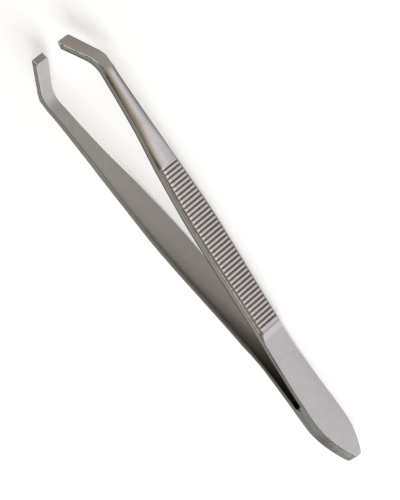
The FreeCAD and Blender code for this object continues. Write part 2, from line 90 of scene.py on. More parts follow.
# The blank's stations: place, width, depth of the rolled edges, flat back and thickness.
blankStations = np.array([
    [0.0, 8.3, 0.6, 6.7, 1.5],
    [10.5, 8.3, 0.6, 6.7, 1.5],
    [23.7, 7.25, 0.6, 5.65, 0.9],
    [31.3, 6.8, 0.6, 4.8, 1.75],
    [54.0, 7.55, 0.53, 5.2, 1.68],
    [67.6, 6.1, 0.5, 3.4, 1.7],
    [78.0, 4.2, 0.47, 1.1, 1.55],
    [89.0, 3.36, 0.65, 0.3, 1.5],
    [89.9, 3.35, 0.6, 0.6, 1.45],
])

# Top of the blank over the weld plane, before the tail's outside is ground flat.
tailTop = np.array([[0.0, 2.08], [10.5, 2.08], [23.7, 2.4]])

# The front grooves are narrower than the others, from one groove on.
grooveSizes = {
    "count": 40,
    "pitch": 0.926,
    "first": 0.62,
    "depth": 0.22,
    "openWidth": 0.58,
    "frontWidth": 0.46,
    "narrowFrom": 24,
    "rootWidth": 0.22,
}

# The shank's back is crowned: it falls from its middle to its sides as the square of the way.
crownSizes = {
    "start": 67.5,
    "full": 75.0,
    "extra": -0.18,
}

# Eased edges, the roundness of inner corners, and how far the grooves' cut clears the back.
edgeSizes = {
    "outer": 0.05,
    "inner": 0.05,
    "blend": 0.02,
    "clear": 0.05,
}

# Cross sections along each stretch of an arm.
columnCounts = {
    "tailEnd": 26,
    "tail": 40,
    "slitEnd": 8,
    "spring": 50,
    "shoulder": 50,
    "perGroove": 16,
    "shank": 90,
    "bend": 44,
    "bar": 40,
    "tip": 14,
    "cap": 5,
}

# Where the spacing of the cross sections changes, and how close two of them lie at the slit's end.
columnPlaces = {
    "tailEnd": 2.5,
    "beforeSlit": 0.5,
    "springEnd": 27.5,
    "seam": 1e-4,
}

# Points along each stretch of half a cross section, from the middle of the back to the inner face.
outlineCounts = {
    "edge": 6,
    "roll": 10,
    "flat": 8,
    "side": 4,
    "innerEdge": 4,
    "floor": 4,
}
outsideRegion, sideRegion, innerRegion = 0, 1, 2


def ramp(value, start, end):
    # From 0 at the start to 1 at the end, as the share of the way between them.
    return np.clip((value - start) / (end - start), 0, 1)


def eased(t):
    # The same way from 0 to 1 with level ends: three squares less two cubes.
    return t * t * (3 - 2 * t)


def bell(value, middle, width):
    # 1 in the middle, falling as the exponential of the squared way out.
    return np.exp(-((value - middle) / width) ** 2)


def arcDrop(away, radius):
    # How far a circle has fallen beside its top: radius less the root of radius^2 - away^2.
    return radius - np.sqrt(np.clip(radius ** 2 - away ** 2, 0, None))


def steps(count):
    # Even shares of the way, without the start.
    return np.linspace(0, 1, count + 1)[None, 1:]


def throughPoints(x, xs, ys):
    # Smooth line through points: cubic pieces whose end slopes are the harmonic mean of the
    # neighbouring chords, or level where the values turn round.
    chords = np.diff(ys) / np.diff(xs)
    slopes = np.zeros_like(ys)
    before, after = chords[:-1], chords[1:]
    rising = before * after > 0
    slopes[1:-1] = np.where(rising, 2 * before * after / np.where(rising, before + after, 1), 0)
    slopes[-1] = chords[-1]
    cell = np.clip(np.searchsorted(xs, x, side="right") - 1, 0, len(xs) - 2)
    step = xs[cell + 1] - xs[cell]
    t = np.clip((x - xs[cell]) / step, 0, 1)
    return (
        (2 * t ** 3 - 3 * t ** 2 + 1) * ys[cell]
        + (t ** 3 - 2 * t ** 2 + t) * step * slopes[cell]
        + (3 * t ** 2 - 2 * t ** 3) * ys[cell + 1]
        + (t ** 3 - t ** 2) * step * slopes[cell + 1]
    )


def station(x, column):
    # One of the blank's sizes at each place, smooth through the stations.
    return throughPoints(x, blankStations[:, 0], blankStations[:, column])


def lowerOf(a, b):
    # The lower of two heights, with the corner between them rounded over: half of their sum less
    # the root of their squared difference and the squared blend.
    return 0.5 * (a + b - np.sqrt((a - b) ** 2 + edgeSizes["blend"] ** 2))


def groundLine(x):
    # Tail's ground outside: a line, a bow of even curvature, a line at the arm's angle.
    a = armSizes
    tailSlope = (a["tailThickness"] - a["tailEndThickness"]) / a["bowStart"]
    armSlope = math.tan(math.radians(a["armAngle"]))
    bowLength = a["bowEnd"] - a["bowStart"]
    run = np.clip(x - a["bowStart"], 0, bowLength)
    curvature = (armSlope - tailSlope) / bowLength
    beyond = np.maximum(x - a["bowEnd"], 0)
    line = a["tailEndThickness"] + tailSlope * np.minimum(x, a["bowEnd"])
    return line + curvature * run ** 2 / 2 + armSlope * beyond


def backLine(x):
    # The straight back of the grip and the shank: the ground line and the shoulder's step.
    return groundLine(x) + armSizes["shoulderStep"]


def groundFace(x):
    # The ground line with the wheel's run-out, an arc that ends on the back before the shoulder,
    # and less the eased edge at the tail's end, which is an arc too.
    a = armSizes
    radius, step = a["runoutRadius"], a["shoulderStep"]
    reach = math.sqrt(radius ** 2 - (radius - step) ** 2)
    rise = arcDrop(np.clip(x - a["runoutEnd"] + reach, 0, reach), radius)
    past = np.maximum(x - a["runoutEnd"], 0) * a["runoutPastSlope"]
    drop = arcDrop(np.clip(a["tailEdgeRadius"] - x, 0, None), a["tailEdgeRadius"])
    return groundLine(x) + rise + past - drop


def blankTop(x):
    # Top of the blank before grinding: smooth over the tail, then the straight back.
    shoulder = np.array([armSizes["shoulder"]])
    end = np.column_stack([shoulder, backLine(shoulder)])
    points = np.vstack([tailTop, end])
    early = throughPoints(x, points[:, 0], points[:, 1])
    return np.where(x < armSizes["shoulder"], early, backLine(x))


def innerLine(x):
    # Slit floor as an arc that ends at the arm's angle, then the straight arm's inner face.
    a = armSizes
    armSlope = math.tan(math.radians(a["armAngle"]))
    end = np.array([a["shoulder"]])
    endHeight = (backLine(end) - station(end, 4))[0]
    run = a["shoulder"] - a["weldLength"]
    curve = (armSlope - (endHeight - a["slitHalfGap"]) / run) / run
    back = a["shoulder"] - x
    floor = endHeight - armSlope * back + curve * back ** 2
    return np.where(x < a["shoulder"], floor, backLine(x) - station(x, 4))


def leafHalfWidth(x, halfWidth):
    # Plan of the tail: an arc from the full width to the blunt end, whose corners are arcs too.
    a = armSizes
    drop = blankStations[0, 1] / 2 - a["tailEndWidth"] / 2
    radius = (a["leafLength"] ** 2 + drop ** 2) / (2 * drop)
    leaf = halfWidth - arcDrop(np.clip(a["leafLength"] - x, 0, None), radius)
    slope = a["leafLength"] / (radius - drop)
    tilt = math.atan(slope)
    corner = a["tailCornerRadius"]
    end = a["tailEndWidth"] / 2 + slope * corner - corner / math.cos(tilt) + corner
    rounded = end - arcDrop(corner - x, corner)
    return np.where(x < corner * (1 - math.sin(tilt)), rounded, leaf)


def leafSkew(x):
    # The leaf is ground a little to one side of the arm's middle, more towards its end.
    a = armSizes
    return a["leafSkew"] * eased(ramp(x, a["leafLength"], a["leafSkewEnd"]))


def grooveDepth(x):
    # Depth of the cut at each place, 1 at the roots: level roots, sloping walls, eased corners.
    g = grooveSizes
    first = armSizes["shoulder"] + g["first"]
    pitch = g["pitch"] * math.cos(math.radians(armSizes["armAngle"]))
    number = np.clip(np.round((x - first) / pitch), 0, g["count"] - 1)
    away = np.abs(x - first - number * pitch)
    widths = [g["openWidth"], g["frontWidth"]]
    opening = np.interp(number, [g["narrowFrom"], g["count"] - 1], widths) / 2
    return eased(ramp(away, opening, g["rootWidth"] / 2))


def straightPlaces():
    # Places of the cross sections from the tail's end to the ridge's end, closest at the grooves.
    a, n, at = armSizes, columnCounts, columnPlaces
    slitEnd, shoulder = a["weldLength"], a["shoulder"]
    lastGroove = shoulder + grooveSizes["first"] + grooveSizes["count"] * grooveSizes["pitch"]
    grooveColumns = grooveSizes["count"] * n["perGroove"]
    near = 1 - np.cos(np.linspace(0, math.pi / 2, n["tailEnd"]))
    beforeSlit = slitEnd - at["beforeSlit"]
    return np.concatenate([
        at["tailEnd"] * near[:-1],
        np.linspace(at["tailEnd"], beforeSlit, n["tail"])[:-1],
        np.linspace(beforeSlit, slitEnd - at["seam"], n["slitEnd"]),
        np.linspace(slitEnd + at["seam"], at["springEnd"], n["spring"])[:-1],
        np.linspace(at["springEnd"], shoulder, n["shoulder"])[:-1],
        np.linspace(shoulder, lastGroove, grooveColumns)[:-1],
        np.linspace(lastGroove, a["ridge"], n["shank"]),
    ])


def straightArm():
    # Sections of the tail, the grip and the shank: each one's foot on the inner face, its upward
    # direction, and the sizes that shape it.
    a = armSizes
    x = straightPlaces()
    welded = x < a["weldLength"]
    crack = np.clip(x - a["weldLength"] + a["crackLength"], 0, None) * a["crackSlope"]
    foot = np.column_stack([x, np.where(welded, crack, innerLine(x))])
    thickness = np.where(x > a["shoulder"], station(x, 4), blankTop(x) - foot[:, 1])
    halfWidth = station(x, 1) / 2
    halfWidth = np.where(x < a["leafLength"], leafHalfWidth(x, halfWidth), halfWidth)
    roll, clear = station(x, 2), edgeSizes["clear"]
    groundEnd = a["shoulder"] + a["groundPast"]
    return {
        "foot": foot,
        "up": np.tile([0.0, 1.0], (len(x), 1)),
        "thickness": thickness,
        "halfWidth": halfWidth,
        "roll": roll,
        "halfFlat": np.minimum(station(x, 3) / 2, halfWidth - a["leastRollWidth"]),
        "ground": np.where(x < groundEnd, groundFace(x) - foot[:, 1], farAway),
        "cut": thickness + clear - (grooveSizes["depth"] + clear) * grooveDepth(x),
        "crown": eased(ramp(x, crownSizes["start"], crownSizes["full"])),
        "crownDepth": roll + crownSizes["extra"],
        "welded": welded,
    }


def elbowBend():
    # Sections of the bend turn about one centre, from the arm's angle to the tip's, while the
    # rolled back turns into a bar with broken edges over the first share of the way.
    a, count = armSizes, columnCounts["bend"]
    armTilt, tipTilt = math.radians(a["armAngle"]), math.radians(a["tipAngle"])
    elbow = np.array([a["elbow"]])
    width, roll, flat, thickness = (station(elbow, column)[0] for column in (1, 2, 3, 4))
    reach = thickness + a["elbowInnerRadius"]
    centre = np.array([
        a["elbow"] + reach * math.sin(armTilt),
        backLine(elbow)[0] - reach * math.cos(armTilt),
    ])
    t = np.linspace(0, 1, count)
    tilt = armTilt + (-tipTilt - armTilt) * t
    up = np.column_stack([-np.sin(tilt), np.cos(tilt)])
    fade = ramp(t, 0, a["elbowFade"])
    halfWidth = (width * (1 - t) + a["tipRootWidth"] * t) / 2
    return {
        "foot": centre + a["elbowInnerRadius"] * up,
        "up": up,
        "thickness": thickness * (1 - t) + a["tipRootThickness"] * t,
        "halfWidth": halfWidth,
        "roll": roll * (1 - fade) + a["barEdge"] * fade,
        "halfFlat": flat / 2 * (1 - fade) + (halfWidth - a["barEdge"]) * fade,
        "crown": 1 - eased(fade),
        "crownDepth": np.full(count, roll + crownSizes["extra"]),
    }


def tipBar(rootFoot, rootUp):
    # Sections of the flat bar, from the bend to the bevelled jaw face: the inner face ends where
    # it meets the jaw face's line, which runs back from the tip's end.
    a, n = armSizes, columnCounts
    tipTilt, jawTilt = math.radians(a["tipAngle"]), math.radians(a["jawFaceAngle"])
    rootTop = rootFoot + a["tipRootThickness"] * rootUp
    along = np.array([math.cos(tipTilt), -math.sin(tipTilt)])
    tipTop = rootTop + along * (a["length"] - rootTop[0]) / along[0]
    barInner = tipTop - a["tipThickness"] * rootUp - rootFoot
    jaw = np.array([-math.cos(jawTilt), -math.sin(jawTilt)])
    share = np.linalg.solve(np.column_stack([barInner, -jaw]), tipTop - rootFoot)[0]
    barLength = np.linalg.norm(tipTop - rootTop)
    corner = a["tipCornerRadius"]
    tipStart = 1 - corner / barLength
    end = tipStart + (1 - tipStart) * np.sin(np.linspace(0, math.pi / 2, n["tip"]))
    t = np.concatenate([np.linspace(0, tipStart, n["bar"])[1:], end[1:]])
    foot = rootFoot + barInner * share * t[:, None]
    top = rootTop + (tipTop - rootTop) * t[:, None]
    reach = np.linalg.norm(top - foot, axis=1)
    inset = arcDrop(np.clip(corner - (1 - t) * barLength, 0, None), corner)
    halfWidth = (a["tipRootWidth"] * (1 - t) + a["tipWidth"] * t) / 2 - inset
    return {
        "foot": foot,
        "up": (top - foot) / reach[:, None],
        "thickness": reach,
        "halfWidth": halfWidth,
        "roll": np.full(len(t), a["barEdge"]),
        "halfFlat": halfWidth - a["barEdge"],
        "crown": np.zeros(len(t)),
        "crownDepth": np.full(len(t), a["barEdge"]),
    }


def armColumns():
    # The sections of the whole arm. The bend and the bar are neither ground, grooved nor welded.
    straight, bend = straightArm(), elbowBend()
    bar = tipBar(bend["foot"][-1], bend["up"][-1])
    for part in (bend, bar):
        count = len(part["roll"])
        part.update(ground=np.full(count, farAway), cut=np.full(count, farAway))
        part["welded"] = np.zeros(count, bool)
    return {key: np.concatenate([part[key] for part in (straight, bend, bar)]) for key in straight}


def closeLoop(half, sign=1):
    # Half an outline, then its mirror image back to the start.
    return np.concatenate([half, sign * half[:, -2:0:-1]], axis=1)


def sectionLoops(columns):
    # Closed outline of each cross section: places across (z), heights over the foot, the region
    # of each point, and how much of a groove's depth is cut away there. The outside is the lowest
    # of the rolled back, the ground face and the grooves' floor.
    e, n = edgeSizes, outlineCounts
    column = {key: value[:, None] for key, value in columns.items() if value.ndim == 1}
    half, flat, thickness = column["halfWidth"], column["halfFlat"], column["thickness"]
    wide = half - flat
    edge = np.minimum(e["outer"], wide / 2)
    quarter = np.linspace(0, math.pi / 2, n["edge"])[None, :]
    rollShare, flatShare = steps(n["roll"]), steps(n["flat"])
    z = np.concatenate([
        half - edge * (1 - np.cos(quarter)),
        (half - edge) * (1 - rollShare) + flat * rollShare,
        flat * (1 - flatShare),
    ], axis=1)
    radius = (wide ** 2 + column["roll"] ** 2) / (2 * column["roll"])
    rolled = thickness - arcDrop(np.clip(z - flat, 0, None), radius)
    crowned = thickness - column["crownDepth"] * (z / half) ** 2
    back = rolled * (1 - column["crown"]) + crowned * column["crown"]
    top = lowerOf(lowerOf(back, column["ground"]), column["cut"])
    top = top - edge * arcDrop(ramp(z, half - edge, half), 1)

    inner = np.where(column["welded"], 0, e["inner"])
    sideShare, floorShare = steps(n["side"]), steps(n["floor"])
    arc = steps(n["innerEdge"]) * math.pi / 2
    sideHeight = top[:, :1] * (1 - sideShare) + inner * sideShare
    floorZ = (half - inner) * (1 - floorShare)
    arcZ, arcHeight = half - inner * (1 - np.cos(arc)), inner * (1 - np.sin(arc))
    halfZ = np.concatenate([z[:, ::-1], half + 0 * sideHeight, arcZ, floorZ], axis=1)
    halfHeight = np.concatenate([top[:, ::-1], sideHeight, arcHeight, 0 * floorZ], axis=1)
    cutAway = np.clip((back - top) / grooveSizes["depth"], 0, 1)[:, ::-1]
    cutAway = np.concatenate([cutAway, 0 * halfZ[:, z.shape[1]:]], axis=1)
    counts = [z.shape[1], n["side"], n["innerEdge"] + n["floor"]]
    region = np.repeat([outsideRegion, sideRegion, innerRegion], counts)[None, :]
    return closeLoop(halfZ, -1), closeLoop(halfHeight), closeLoop(region), closeLoop(cutAway)


# Tones of the grooved grip and of the run-out before it: partly the grooves' brown residue, mostly
# painted light and shade. Pairs are a middle and a width, or where a change starts and ends:
# millimetres past the run-out's end, shares of the rolled edge's fall, or shares of the way from
# the arm's middle to its side.
gripTones = {
    "runoutLine": (0.05, 0.1),
    "runoutLineStrength": 0.75,
    "runoutTan": (-0.8, 0.6),
    "runoutTanStrength": 0.16,
    "grooveSharpness": 3,
    "landEdge": (0.5, 0.12),
    "landEdgePeak": 1.3,
    "landEdgeStrength": 0.75,
    "landStart": (0, 0.1),
    "landStop": (0.5, 0.35),
    "landEndStrength": 0.7,
    "rolledEdge": (0.55, 0.7),
    "tan": 0.05,
    "leeShares": (0.72, 0.87),
    "leeMost": 0.7,
}


def gripMarks(at):
    # Grooves dark by their depth, partly brown residue and partly painted shade; a dark line along
    # the lands' edge and at the run-out's end; painted glints at the ends of the lands; a painted
    # highlight on the rolled edge below them; the painted tan reflection by the run-out; and
    # painted shade on the grip's lower side.
    f, rolledOff = gripTones, at["rolledOff"]
    fromRunout = at["along"] - armSizes["runoutEnd"]
    upper = at["gripped"] & at["upper"]
    runoutLine = at["outside"] * bell(fromRunout, *f["runoutLine"])
    runoutTan = at["outside"] * bell(fromRunout, *f["runoutTan"])
    grooves = at["gripped"] * np.clip(f["grooveSharpness"] * at["cutAway"], 0, 1)
    edge, edgeWidth = f["landEdge"]
    landEdge = upper * np.clip(f["landEdgePeak"] - np.abs(rolledOff - edge) / edgeWidth, 0, 1)
    dark = f["runoutLineStrength"] * runoutLine + f["landEdgeStrength"] * landEdge
    land = ramp(rolledOff, *f["landStart"]) * ramp(rolledOff, *f["landStop"])
    lee = ramp(at["share"], *f["leeShares"])
    return {
        "groove": np.clip(grooves + dark, 0, 1),
        "landEnd": upper * f["landEndStrength"] * land * (1 - grooveDepth(at["along"])),
        "roll": upper * ramp(rolledOff, *f["rolledEdge"]),
        "flank": f["runoutTanStrength"] * runoutTan + f["tan"] * at["gripped"],
        "lee": at["gripped"] * at["lower"] * np.minimum(lee, f["leeMost"]),
    }


# Painted reflections and shade on the shank's crowned back: its bands run along it, and close up
# towards the grip.
shankPaintedLight = {
    "start": (-0.2, 0.2),
    "middleTone": 0.12,
    "steepening": (78, 69),
    "flankPower": 1,
    "flankSteeper": 2.2,
    "gripFrom": 75,
    "gripLength": 5,
    "gripMost": 1.3,
    "flankCapDrop": 0.28,
    "lowerDrop": 0.1,
    "leePower": 1.3,
    "leeSteeper": 3,
    "leeDarkening": (80, 89),
    "leeDarker": 0.6,
}


def shankMarks(at):
    # Upper half: the flank's painted reflection tone grows as a power of the share, up to a cap.
    # Lower half: the painted lee shade grows as a power of the share too, and more towards the
    # elbow.
    f, along, share = shankPaintedLight, at["along"], at["share"]
    start, end = (at["gripEnd"] + offset for offset in f["start"])
    pastGrip = at["outside"] * ramp(along, start, end)
    nearGrip = np.clip((f["gripFrom"] - along) / f["gripLength"], 0, f["gripMost"])
    steep = ramp(along, *f["steepening"])
    power = f["flankPower"] + f["flankSteeper"] * steep
    tone = f["middleTone"] + (1 - f["middleTone"]) * share ** power
    upper = np.minimum(tone, 1 - f["flankCapDrop"] * nearGrip)
    lower = f["middleTone"] - f["lowerDrop"] * nearGrip
    lee = share ** (f["leePower"] + f["leeSteeper"] * steep)
    darker = 1 + f["leeDarker"] * ramp(along, *f["leeDarkening"])
    return {
        "flank": pastGrip * np.where(at["upper"], upper, lower),
        "lee": pastGrip * at["lower"] * lee * darker,
    }


# Painted light and shade on the arms' sides. The far arm's side is painted in the shade of the
# near arm, the near arm's side is painted lighter along the grip, and both are lighter towards the
# tail's end. A painted shade runs along the sides' edge next to the inner face, full only on the
# near arm, and darkens the tail's end. Places are millimetres from the tail's end, and pairs where
# a change starts and ends. The grip's last pair is measured from the grip's end.
sidePaintedLight = {
    "gripStart": (20, 32),
    "gripStop": (3, -3),
    "leafEnd": (6, 2.5),
    "shadePlaces": (14, 25, 34, 44, 74),
    "shadeValues": (0.2, 0.9, 1, 0.75, 0),
    "shadeLeast": 0.5,
    "shadeDeeper": 1.2,
    "leastSideHeight": 0.1,
    "edgeShadeHeight": 0.42,
    "farEdgeShade": 0.25,
    "tailShadeLength": 1.1,
    "tailShade": 0.4,
}


def sideMarks(at, nearArm):
    # Painted light and shade on the sides: by place along the arm, and by height over the inner
    # face.
    f, along, onSide, height = sidePaintedLight, at["along"], at["onSide"], at["height"]
    sideTop = np.where(onSide, height, 0).max(axis=1, keepdims=True)
    depth = 1 - height / np.maximum(sideTop, f["leastSideHeight"])
    start, end = (at["gripEnd"] + offset for offset in f["gripStop"])
    gripSide = ramp(along, *f["gripStart"]) * ramp(along, start, end)
    shade = np.interp(along, f["shadePlaces"], f["shadeValues"])
    shade = shade * np.clip(f["shadeLeast"] + f["shadeDeeper"] * depth, 0, 1)
    # Painted shade along the side's edge next to the inner face; the tail's painted shade joins it
    # below.
    burr = ramp(height, f["edgeShadeHeight"], edgeSizes["inner"]) * ~at["welded"]
    tailShade = f["tailShade"] * ramp(along, f["tailShadeLength"], 0)
    return {
        "side": onSide,
        "sideEnd": onSide * ramp(along, *f["leafEnd"]),
        "gripSide": nearArm * onSide * gripSide,
        "shaded": (not nearArm) * onSide * shade,
        "burr": onSide * np.maximum(burr * (1 if nearArm else f["farEdgeShade"]), tailShade),
    }


# Painted shade in the slit, where the tip's bar begins its painted tones, and the lines along the
# back's upper edge. Pairs are where a change starts and ends, in millimetres from the tail's end
# or as shares of the half width.
edgeTones = {
    "slitShadeLength": 1.2,
    "barBackShade": (89.7, 90.4),
    "barInside": (89.9, 92.3),
    "rim": (0.84, 0.92),
    "stain": (0.93, 0.97),
}


def edgeMarks(at):
    # Painted shade past the slit's end, the change to the bar's painted tones, and the edge's rim
    # and a brown line along it.
    f, along = edgeTones, at["along"]
    upper = at["outside"] & at["upper"]
    slit = along < armSizes["weldLength"] + f["slitShadeLength"]
    ground = (along > armSizes["bowStart"]) & (along < armSizes["shoulder"])
    return {
        "inside": at["innerFace"] & ~at["welded"],
        "soot": at["innerFace"] & slit & at["open"],
        "bar": np.where(at["outside"], ramp(along, *f["barBackShade"]), ramp(along, *f["barInside"])),
        "rim": upper * ramp(at["share"], *f["rim"]),
        "stain": upper * ground * ramp(at["share"], *f["stain"]),
    }


def toneMarks(columns, loops, nearArm):
    # The marks from 0 to 1 that the steel's colour reads at each point of the skin, most of them
    # painted light and shade.
    loopZ, height, region, cutAway = loops
    along = columns["foot"][:, :1]
    fallen = columns["thickness"][:, None] - height
    welded = columns["welded"][:, None]
    gripEnd = armSizes["shoulder"] + grooveSizes["count"] * grooveSizes["pitch"]
    outside, innerFace = region == outsideRegion, region == innerRegion
    at = {
        "along": along,
        "share": np.abs(loopZ) / columns["halfWidth"][:, None],
        "height": height,
        "cutAway": cutAway,
        "rolledOff": np.clip(fallen / columns["roll"][:, None], 0, 1),
        "upper": loopZ > 0,
        "lower": loopZ < 0,
        "outside": outside,
        "onSide": (region == sideRegion) | (welded & innerFace),
        "innerFace": innerFace,
        "welded": welded,
        "open": columns["foot"][:, 1:] > 0,
        "gripEnd": gripEnd,
        "gripped": outside & (along > armSizes["shoulder"]) & (along < gripEnd),
    }
    grip, shank = gripMarks(at), shankMarks(at)
    marks = {**grip, **shank, **sideMarks(at, nearArm), **edgeMarks(at), "jaw": 0}
    for name in shank:
        marks[name] = grip[name] + shank[name]
    return {name: mark + np.zeros_like(loopZ) for name, mark in marks.items()}


# How much of its width the end's section keeps on its first cap ring, the distance in metres at
# which doubles are merged, and the angle in degrees past which an edge stays sharp.
skinSizes = {
    "capShare": 0.96,
    "mergeDistance": 1e-7,
    "sharpAngle": 65,
}


def closeEnds(rings):
    # Further rings at both ends, which shrink the end's section to a line across its middle.
    shares = np.linspace(skinSizes["capShare"], 0, columnCounts["cap"])
    ends = []
    for ring in (rings[0], rings[-1]):
        shrunk = np.repeat(ring[None], len(shares), axis=0)
        middle = (ring[:, 2].min() + ring[:, 2].max()) / 2
        shrunk[:, :, 2] = middle + (shrunk[:, :, 2] - middle) * shares[:, None]
        ends.append(shrunk)
    return np.concatenate([ends[0][::-1], rings, ends[1]])


def armRings(side):
    # The skin's points: foot and height times up along the arm, z across, then each point's marks.
    # The arm with side 1 lies on +Y. The caps' marks are those of a side with its painted edge
    # shade, and of a jaw's end with its painted shade.
    columns = armColumns()
    loops = sectionLoops(columns)
    marks = toneMarks(columns, loops, nearArm=side < 0)
    plane = columns["foot"][:, None, :] + loops[1][:, :, None] * columns["up"][:, None, :]
    z = loops[0] - leafSkew(columns["foot"][:, :1])
    rings = closeEnds(np.dstack([plane[:, :, 0], side * plane[:, :, 1], z] + list(marks.values())))
    tailCap, tipCap = rings[:columnCounts["cap"]], rings[-columnCounts["cap"]:]
    # The tail's cap is painted in the sides' edge shade.
    tailCap[:, :, 3:] = [name in ("side", "burr") for name in marks]
    # The tip's cap takes the jaw's end mark: painted shade on the end face.
    tipCap[:, :, 3:] = [name == "jaw" for name in marks]
    low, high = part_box("left_arm")
    rings[:, :, :3] = rings[:, :, :3] * millimetre + [low[0], 0, (low[2] + high[2]) / 2]
    return rings, list(marks)


def makeSkin(name, rings, markNames, flip):
    # Quads between neighbouring rings, doubles merged, so that the skin is closed.
    ringCount, count = rings.shape[:2]
    index = np.arange(ringCount * count).reshape(ringCount, count)
    a, b = index[:-1], index[1:]
    quads = np.dstack([a, b, np.roll(b, -1, axis=1), np.roll(a, -1, axis=1)]).reshape(-1, 4)
    quads = quads[:, ::-1] if flip else quads
    mesh = bpy.data.meshes.new(name)
    mesh.from_pydata(rings[:, :, :3].reshape(-1, 3).tolist(), [], quads.tolist())
    for place, mark in enumerate(markNames, start=3):
        layer = mesh.attributes.new(mark, "FLOAT", "POINT")
        layer.data.foreach_set("value", rings[:, :, place].ravel().astype(np.float32))
    skin = bpy.data.objects.new(name, mesh)
    bpy.context.collection.objects.link(skin)
    work = bmesh.new()
    work.from_mesh(mesh)
    bmesh.ops.remove_doubles(work, verts=work.verts, dist=skinSizes["mergeDistance"])
    bmesh.ops.recalc_face_normals(work, faces=work.faces)
    work.to_mesh(mesh)
    work.free()
    mesh.shade_smooth()
    mesh.set_sharp_from_angle(angle=math.radians(skinSizes["sharpAngle"]))
    return skin


# Colours of the steel, each named after the mark or the place that it belongs to. Many of them are
# painted light and shade.
steelLook = {
    "ground": (0.475, 0.452, 0.472, 1),
    # The inner faces' colour is painted shade between the arms; on the tip's bar the jaw's inside
    # colour takes over, lighter where those faces meet the light.
    "insideShade": (0.31, 0.287, 0.268, 1),
    # The ridge, tan and flank colours are painted reflections across the shank's back: painted
    # highlight, painted tan reflection, painted shade.
    "ridge": (0.56, 0.536, 0.555, 1),
    "tan": (0.44, 0.395, 0.325, 1),
    "flank": (0.22, 0.192, 0.168, 1),
    # The lee colour is painted shade on the lower side of the back.
    "lee": (0.1, 0.097, 0.1, 1),
    # The bar's back colour is painted shade on the tip's bar, whose outer face turns away from the
    # light.
    "barBackShade": (0.285, 0.262, 0.24, 1),
    "jawInside": (0.52, 0.487, 0.505, 1),
    # The jaw's end colour is painted shade on the tips' end faces.
    "jawEnd": (0.23, 0.207, 0.187, 1),
    # The groove colour is partly brown residue in the grooves and partly painted shade by their
    # depth.
    "groove": (0.14, 0.11, 0.09, 1),
    # This colour is painted shade deep in the slit past its end.
    "soot": (0.035, 0.02, 0.015, 1),
    # This colour is painted shade along the sides' edge next to the inner face and on the tail's
    # end.
    "burr": (0.09, 0.088, 0.08, 1),
    "side": (0.52, 0.548, 0.56, 1),
    # The next two are painted light on the sides: along the near arm's grip, and towards the
    # tail's end.
    "gripSide": (0.66, 0.64, 0.67, 1),
    "sideEnd": (0.83, 0.87, 0.89, 1),
    "shaded": (0.15, 0.142, 0.133, 1),
    # This colour is a painted highlight on the rolled edge below the lands.
    "roll": (0.85, 0.81, 0.82, 1),
    # This colour is a brown line along the upper edge of the ground tail's back.
    "stain": (0.37, 0.29, 0.25, 1),
    "glint": (0.85, 0.81, 0.75, 1),
    "speck": (0.08, 0.075, 0.07, 1),
    "metallic": 1,
    "roughness": 0.3,
    "roughnessSpread": 0.12,
}

# Painted reflections across the crowned shank: a bright ridge as a painted highlight, a tan
# shoulder, a dark flank as painted shade.
paintedShankBands = ((0.0, "ground"), (0.1, "ridge"), (0.24, "ridge"), (0.48, "tan"), (0.79, "flank"))

# Colours laid over each other in this order, each with the mark that lets it through: first over
# the back and the sides, then over everything. Most of them are painted light and shade.
backLayers = (
    ("lee", "lee"), ("barBackShade", "bar"), ("stain", "stain"), ("side", "side"),
    ("gripSide", "gripSide"), ("sideEnd", "sideEnd"), ("shaded", "shaded"), ("roll", "roll"),
    ("burr", "burr"),
)
topLayers = (("groove", "groove"), ("jawEnd", "jaw"), ("glint", "landEnd"), ("soot", "soot"))

# The wheel's marks lie across the arm, so the grain is fine along X and long along Z.
grainLook = {
    "fine": (2400, 2400, 330),
    "fineDetail": 4,
    "mottle": (520, 520, 420),
    "mottleDetail": 2,
    "contrast": 0.11,
    "heightLow": 0.3,
    "heightHigh": 0.7,
    "bumpStrength": 0.16,
    "bumpDistance": 0.000004,
    "insideShare": 0.2,
}

glintLook = {
    "scale": 2300,
    "detail": 1,
    "low": 0.4,
    "high": 0.52,
}

speckLook = {
    "scale": 260,
    "radius": 0.045,
    "core": 0.5,
}


def link(tree, value, socket):
    # A socket takes either a fixed value or another node's output.
    if isinstance(value, bpy.types.NodeSocket):
        tree.links.new(value, socket)
    else:
        socket.default_value = value


def mixColor(tree, first, second, factor, blend="MIX"):
    # The first colour at factor 0, the second at factor 1.
    mix = tree.nodes.new("ShaderNodeMix")
    mix.data_type = "RGBA"
    mix.blend_type = blend
    link(tree, first, mix.inputs[6])
    link(tree, second, mix.inputs[7])
    link(tree, factor, mix.inputs[0])
    return mix.outputs[2]


def calculate(tree, operation, first, second):
    # One step of arithmetic on two values.
    node = tree.nodes.new("ShaderNodeMath")
    node.operation = operation
    link(tree, first, node.inputs[0])
    link(tree, second, node.inputs[1])
    return node.outputs[0]


def remap(tree, value, low, high, newLow, newHigh):
    # The value's share of the way from low to high, taken from newLow to newHigh and held there.
    node = tree.nodes.new("ShaderNodeMapRange")
    for place, item in enumerate((value, low, high, newLow, newHigh)):
        link(tree, item, node.inputs[place])
    return node.outputs[0]


def readMark(tree, name):
    # A mark that the skin's points carry.
    node = tree.nodes.new("ShaderNodeAttribute")
    node.attribute_name = name
    return node.outputs["Fac"]


def newGroup(name, inputs, outputs):
    # An empty node group with named sockets.
    group = bpy.data.node_groups.new(name, "ShaderNodeTree")
    for label, kind in inputs:
        group.interface.new_socket(label, in_out="INPUT", socket_type="NodeSocket" + kind)
    for label, kind in outputs:
        group.interface.new_socket(label, in_out="OUTPUT", socket_type="NodeSocket" + kind)
    start = group.nodes.new("NodeGroupInput")
    end = group.nodes.new("NodeGroupOutput")
    return group, start.outputs, end.inputs


